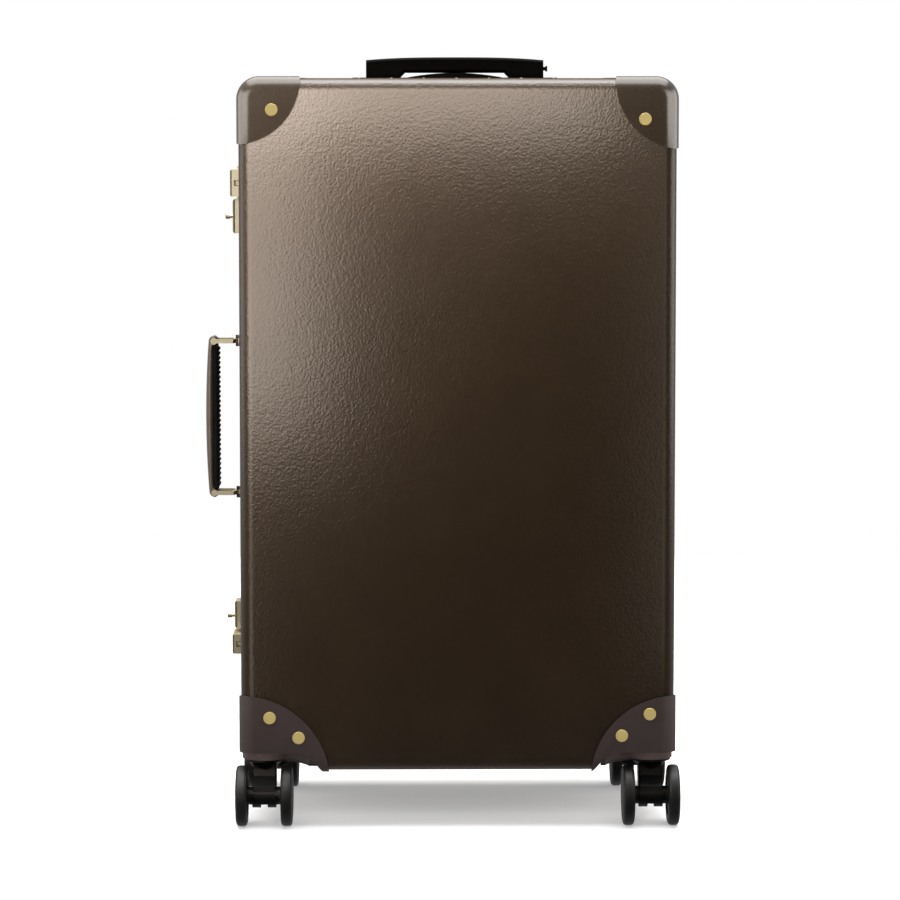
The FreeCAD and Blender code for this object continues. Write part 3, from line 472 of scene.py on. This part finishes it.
def wall_path(z0, x1):
    """Stations (x, z, inward x, inward z) up the left wall from z0, round the corner and along the top to x1."""
    out = []
    n = 64
    for i in range(n):
        out.append((-IN_X, z0 + (IN_HI - IN_R - z0) * i / n, 1.0, 0.0))
    for i in range(11):
        t = math.pi - math.pi / 2 * i / 10
        out.append((-IN_X + IN_R + IN_R * math.cos(t), IN_HI - IN_R + IN_R * math.sin(t), -math.cos(t), -math.sin(t)))
    x0 = -IN_X + IN_R
    m = max(4, int((x1 - x0) / 9))
    for i in range(1, m + 1):
        out.append((x0 + (x1 - x0) * i / m, IN_HI, 0.0, -1.0))
    return out


def ripple(p, size, deep):
    """A little unevenness in laid cloth."""
    return deep * noise.noise(Vector((p[0] / size, p[1] / size, p[2] / size)))


def strip(bm, stations, inner, outer):
    """Cloth of some thickness along stations: inner and outer are profiles of (inset, y), the inner one shows."""
    rows = []
    for x, z, nx, nz in stations:
        show, back = [], []
        for (i, y), (j, w) in zip(inner, outer):
            q = (x + nx * i, y, z + nz * i)
            e = ripple(q, 46.0, 0.35) if 2.0 < i + 1.0 < 4.5 else 0.0
            show.append(bm.verts.new(P(q[0] + nx * e, q[1], q[2] + nz * e)))
            back.append(bm.verts.new(P(x + nx * j, w, z + nz * j)))
        rows.append((show, back))
    k = len(inner)
    for (a, b), (c, d) in zip(rows, rows[1:]):
        for i in range(k - 1):
            bm.faces.new((a[i], a[i + 1], c[i + 1], c[i]))
            bm.faces.new((b[i], d[i], d[i + 1], b[i + 1]))
        bm.faces.new((a[0], c[0], d[0], b[0]))
        bm.faces.new((a[-1], b[-1], d[-1], c[-1]))
    for a, b in (rows[0], rows[-1]):
        for i in range(k - 1):
            bm.faces.new((a[i], b[i], b[i + 1], a[i + 1]))


def band_profile(floor_y, hem_y, lead=0.0):
    """Profiles from the panel, round the roll, along the wall to a turned hem."""
    s = 1.0 if hem_y > floor_y else -1.0
    inner, outer = [], []
    if lead:
        inner.append((ROLL + lead, floor_y + s * 1.3))
        outer.append((ROLL + lead, floor_y + s * 0.3))
    for i in range(8):
        t = math.pi / 2 * i / 7
        for prof, gap in ((inner, 1.3), (outer, 0.3)):
            r = ROLL - gap
            prof.append((ROLL - r * math.sin(t), floor_y + s * (ROLL - r * math.cos(t))))
    flat = [0.12, 0.3, 0.5, 0.7, 0.86]
    y0 = floor_y + s * ROLL
    for f in flat:
        y = y0 + (hem_y - s * 9.0 - y0) * f / 0.86
        inner.append((1.3, y))
        outer.append((0.3, y))
    for back, up in ((8.4, 0.9), (7.6, 1.6), (6.6, 2.1), (4.0, 2.25), (1.4, 2.1), (0.5, 1.7), (0.0, 1.2)):
        inner.append((up, hem_y - s * back))
        outer.append((0.3, hem_y - s * back))
    return inner, outer


def flat_profile(y0, y1):
    """Profiles of a straight strip on a wall with a hem at y1."""
    s = 1.0 if y1 > y0 else -1.0
    inner = [(0.9, y0), (1.05, y0 + s * 1.0), (1.1, y0 + s * 6.0), (1.1, y1 - s * 20.0), (1.1, y1 - s * 9.0), (0.8, y1 - s * 8.2),
             (1.4, y1 - s * 7.4), (1.9, y1 - s * 6.4), (2.0, y1 - s * 4.0), (1.9, y1 - s * 1.4), (1.2, y1)]
    return inner, [(0.3, y) for _, y in inner]


def mirror(stations):
    return [(-x, z, -nx, nz) for x, z, nx, nz in stations]


def cloth_piece(bm, name, body):
    o = place(bm, name, [MATS["lining_cloth"]], body, 50.0)
    return o


def pad_board(name, x0, x1, z0, z1, y, s, body):
    """A cloth-covered padded board on a panel: turned edge, a stitched border and a low crown."""
    def lines(a, b):
        near = [0, 0.5, 1.4, 2.8, 4.6, 8, 13, 17, 19, 20, 20.8, 21.6, 22.4, 23.2, 24.2, 26, 30, 36]
        if b - a < 130:
            near = [v for v in near if v < 36]
        mid = int((b - a - 2 * near[-1]) / 11)
        core = [a + near[-1] + (b - a - 2 * near[-1]) * i / (mid + 1) for i in range(1, mid + 1)]
        return [a + v for v in near] + core + [b - v for v in reversed(near)]

    xs, zs = lines(x0, x1), lines(z0, z1)
    bm = bmesh.new()
    show, back = [], []
    for z in zs:
        r1, r2 = [], []
        for x in xs:
            d = min(x - x0, x1 - x, z - z0, z1 - z)
            e = min(1.0, d / 4.6)
            h = 0.5 + 2.2 * math.sqrt(max(0.0, 1 - (1 - e) ** 2))
            h -= 1.5 * math.exp(-((d - 21.6) / 1.3) ** 2)
            t = min(1.0, max(0.0, (d - 23.0) / 40.0))
            h += 1.7 * t * t * (3 - 2 * t) + (ripple((x, 0.0, z), 70.0, 0.45) if d > 3 else 0.0)
            r1.append(bm.verts.new(P(x, y + s * h, z)))
            r2.append(bm.verts.new(P(x, y + s * 0.2, z)))
        show.append(r1)
        back.append(r2)
    for g, flip in ((show, False), (back, True)):
        for a, b in zip(g, g[1:]):
            for i in range(len(xs) - 1):
                f = (a[i], a[i + 1], b[i + 1], b[i])
                bm.faces.new(tuple(reversed(f)) if flip else f)
    for i in range(len(xs) - 1):
        for j in (0, -1):
            bm.faces.new((show[j][i], show[j][i + 1], back[j][i + 1], back[j][i]))
    for k in range(len(zs) - 1):
        for j in (0, -1):
            bm.faces.new((show[k][j], show[k + 1][j], back[k + 1][j], back[k][j]))
    o = place(bm, name, [MATS["lining_cloth"]], body, 50.0)
    return o


def make_linings():
    z0, low = 84.0, 126.0
    # front half
    o = pad_board("lid_panel_pad", -203.0, 203.0, z0, 736.0, -132.0, 1.0, "lid")
    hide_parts("lid_lining")
    inner, outer = band_profile(-132.0, -44.8)
    half = wall_path(z0, 0.0)
    stations = half + list(reversed(mirror(half)))[1:]
    bm = bmesh.new()
    strip(bm, stations, inner, outer)
    cloth_piece(bm, "lid_wall_cloth", "lid")
    inner, outer = band_profile(-132.0, -44.8, 12.0)
    stations = [(-low + 2 * low * i / 24, IN_LO, 0.0, 1.0) for i in range(25)]
    bm = bmesh.new()
    strip(bm, stations, inner, outer)
    cloth_piece(bm, "lid_foot_cloth", "lid")
    # rear half, on both sides of the channel over the tubes
    o = pad_board("base_panel_pad_left", -203.0, -114.0, z0, 736.0, 132.0, -1.0, "base")
    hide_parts("base_lining")
    pad_board("base_panel_pad_right", 114.0, 203.0, z0, 736.0, 132.0, -1.0, "base")
    inner, outer = band_profile(132.0, 8.2)
    half = wall_path(z0, -113.5)
    for name, st in (("base_wall_cloth_left", half), ("base_wall_cloth_right", mirror(half))):
        bm = bmesh.new()
        strip(bm, st, inner, outer)
        cloth_piece(bm, name, "base")
    inner, outer = flat_profile(66.0, 8.2)
    for name, z, nz, x in (("base_top_cloth", IN_HI, -1.0, 112.6), ("base_foot_cloth", IN_LO, 1.0, 140.0)):
        st = [(-x + 2 * x * i / 24, z, 0.0, nz) for i in range(25)]
        bm = bmesh.new()
        strip(bm, st, inner, outer)
        cloth_piece(bm, name, "base")


make_linings()


# ------------------------------------------------------------------ stage and light
def make_floor():
    bm = bmesh.new()
    bmesh.ops.create_grid(bm, x_segments=8, y_segments=8, size=1.25)
    me = bpy.data.meshes.new("floor")
    bm.to_mesh(me)
    bm.free()
    o = bpy.data.objects.new("floor", me)
    o.location = (0.0, 0.78, 0.0)
    scene.collection.objects.link(o)
    # a pale table with a little light from below, so shadows stay soft and light
    m = Mat("floor_paint", Roughness=0.9, Specular_IOR_Level=0.1, Emission_Color=(1.0, 1.0, 1.0, 1.0), Emission_Strength=0.30)
    me.materials.append(m.set(Base_Color=m.ramp(m.noise(3, 2), (0.3, (0.79, 0.79, 0.79)), (0.7, (0.81, 0.81, 0.81)))))
    o.visible_glossy = False
    return o


def lamp(name, centre, u, v, radiance, tint=(1.0, 1.0, 1.0), camera=False):
    """A soft rectangular light about centre, u wide and v high, facing away from u x v."""
    u, v = Vector(u), Vector(v)
    data = bpy.data.lights.new(name, "AREA")
    data.shape = "RECTANGLE"
    data.size, data.size_y = u.length, v.length
    data.energy = radiance * math.pi * u.length * v.length
    data.color = tint
    o = bpy.data.objects.new(name, data)
    x, y = u.normalized(), v.normalized()
    z = x.cross(y).normalized()
    o.matrix_world = Matrix.Translation(Vector(centre)) @ Matrix((x, y, z)).transposed().to_4x4()
    o.visible_camera = camera
    scene.collection.objects.link(o)
    return o


def keep_off(light, objects):
    """A flag in front of a light: these objects stay out of it."""
    shade = bpy.data.collections.new(light.name + "_flag")
    for o in objects:
        shade.objects.link(o)
    light.light_linking.receiver_collection = shade
    for entry in shade.collection_objects:
        entry.light_linking.link_state = "EXCLUDE"


def only_on(light, objects):
    """A lamp with a narrow snoot: it reaches these objects alone."""
    lit = bpy.data.collections.new(light.name + "_snoot")
    for o in objects:
        lit.objects.link(o)
    light.light_linking.receiver_collection = lit


def make_light(floor):
    w = bpy.data.worlds.new("studio")
    scene.world = w
    w.use_nodes = True
    nt = w.node_tree
    nt.nodes.clear()
    out = nt.nodes.new("ShaderNodeOutputWorld")
    co = nt.nodes.new("ShaderNodeTexCoord")
    sep = nt.nodes.new("ShaderNodeSeparateXYZ")
    nt.links.new(co.outputs["Generated"], sep.inputs[0])

    def span(src, a, b, c, d):
        n = nt.nodes.new("ShaderNodeMapRange")
        n.interpolation_type = "SMOOTHSTEP"
        nt.links.new(src, n.inputs["Value"])
        for key, val in (("From Min", a), ("From Max", b), ("To Min", c), ("To Max", d)):
            n.inputs[key].default_value = val
        return n.outputs["Result"]

    back = span(sep.outputs[1], -0.45, 0.30, 0.02, 0.55)
    high = span(sep.outputs[2], 0.55, 0.98, 0.0, 0.9)
    big = nt.nodes.new("ShaderNodeMath")
    big.operation = "MAXIMUM"
    nt.links.new(back, big.inputs[0])
    nt.links.new(high, big.inputs[1])
    soft = nt.nodes.new("ShaderNodeBackground")
    nt.links.new(big.outputs[0], soft.inputs["Strength"])
    white = nt.nodes.new("ShaderNodeBackground")
    white.inputs["Strength"].default_value = 1.0
    white.inputs["Color"].default_value = (1, 1, 1, 1)
    path = nt.nodes.new("ShaderNodeLightPath")
    mixer = nt.nodes.new("ShaderNodeMixShader")
    nt.links.new(path.outputs["Is Camera Ray"], mixer.inputs[0])
    nt.links.new(soft.outputs[0], mixer.inputs[1])
    nt.links.new(white.outputs[0], mixer.inputs[2])
    nt.links.new(mixer.outputs[0], out.inputs["Surface"])
    k = 0.55
    warm = (1.0, 0.88, 0.77)
    # two soft boxes in front give the board its sheen; their reflections are flagged off the smooth leather and the grip
    for name, c, u, v, r, part in (
            ("top_front_box", (-0.25, -0.68, 1.01), (0.90, 0, 0), (0, -0.69 * math.sin(k), 0.69 * math.cos(k)), 10.2, 0.62),
            ("left_front_box", (-0.352, -0.50, 0.642), (0.43 * math.cos(0.1), -0.43 * math.sin(0.1), 0), (0, 0, 0.558), 8.0, 0.60)):
        gloss = lamp(name, c, u, v, r, warm)
        gloss.visible_diffuse = False
        keep_off(gloss, SHADED)
        soft = lamp(name + "_soft", c, u, v, r * part, (1.0, 0.97, 0.93))
        soft.visible_glossy = False
        keep_off(soft, BLACKS + BRASS + RIVETS)
    # weaker boxes carry the sheen down the left edge and along the right one
    for name, c, u, v, r in (("left_low_box", (-0.40, -0.50, 0.24), (0.20, -0.02, 0), (0, 0, 0.50), 2.3),
                             ("right_front_box", (0.37, -0.50, 0.50), (0.20, 0.02, 0), (0, 0, 0.80), 1.0)):
        gloss = lamp(name, c, u, v, r, warm)
        gloss.visible_diffuse = False
        keep_off(gloss, SHADED)
    over = lamp("overhead_box", (0.0, 0.46, 2.2), (2.6, 0, 0), (0, 2.4, 0), 5.4)
    keep_off(over, BLACKS + CAPS)
    over_caps = lamp("overhead_scrim", (0.0, 0.30, 2.2), (2.6, 0, 0), (0, 2.4, 0), 2.7, (1.0, 0.96, 0.91))
    only_on(over_caps, CAPS)
    # a narrow strip over the top edge, kept off the floor
    strip = lamp("top_strip", (0.0, -0.12, 1.75), (1.5, 0, 0), (0, 0.6, 0), 6.6, (1.0, 0.96, 0.92))
    keep_off(strip, [floor] + BLACKS + CAPS)
    wall = lamp("left_wall", (-1.5, -0.05, 0.80), (0, -1.1, 0), (0, 0, 1.1), 2.2, (1.0, 0.93, 0.86))
    keep_off(wall, BRASS)
    lamp("right_wall", (1.5, -0.05, 0.80), (0, 1.1, 0), (0, 0, 1.1), 2.4, (1.0, 0.93, 0.86))
    # side boxes for the rolled leather, and a low front one for brass and the wheel arches
    for sx in (-1, 1):
        side = lamp("cap_box_left" if sx < 0 else "cap_box_right", (sx * 1.15, -0.95, 0.85),
                    Vector((0.64, sx * 0.77, 0)) * 1.0, (0, 0, 1.0), 3.0, (1.0, 0.95, 0.89))
        only_on(side, CAPS)
    floor_box = lamp("floor_box", (0.0, -2.0, 1.15), (2.8, 0, 0), (0, 0.5, 0.87), 3.5)
    only_on(floor_box, [floor])
    fill = lamp("front_fill", (-0.1, -3.2, 1.0), (2.4, 0, 0), (0, 0, 1.8), 1.5)
    only_on(fill, BRASS + TUBES + [o for n, o in N.items() if "rim_rivets" in n or n.endswith("housings")])
    low = lamp("rivet_fill", (-0.1, -2.4, 0.80), (2.4, 0, 0), (0, 0, 1.5), 2.6)
    only_on(low, RIVETS)


make_light(make_floor())
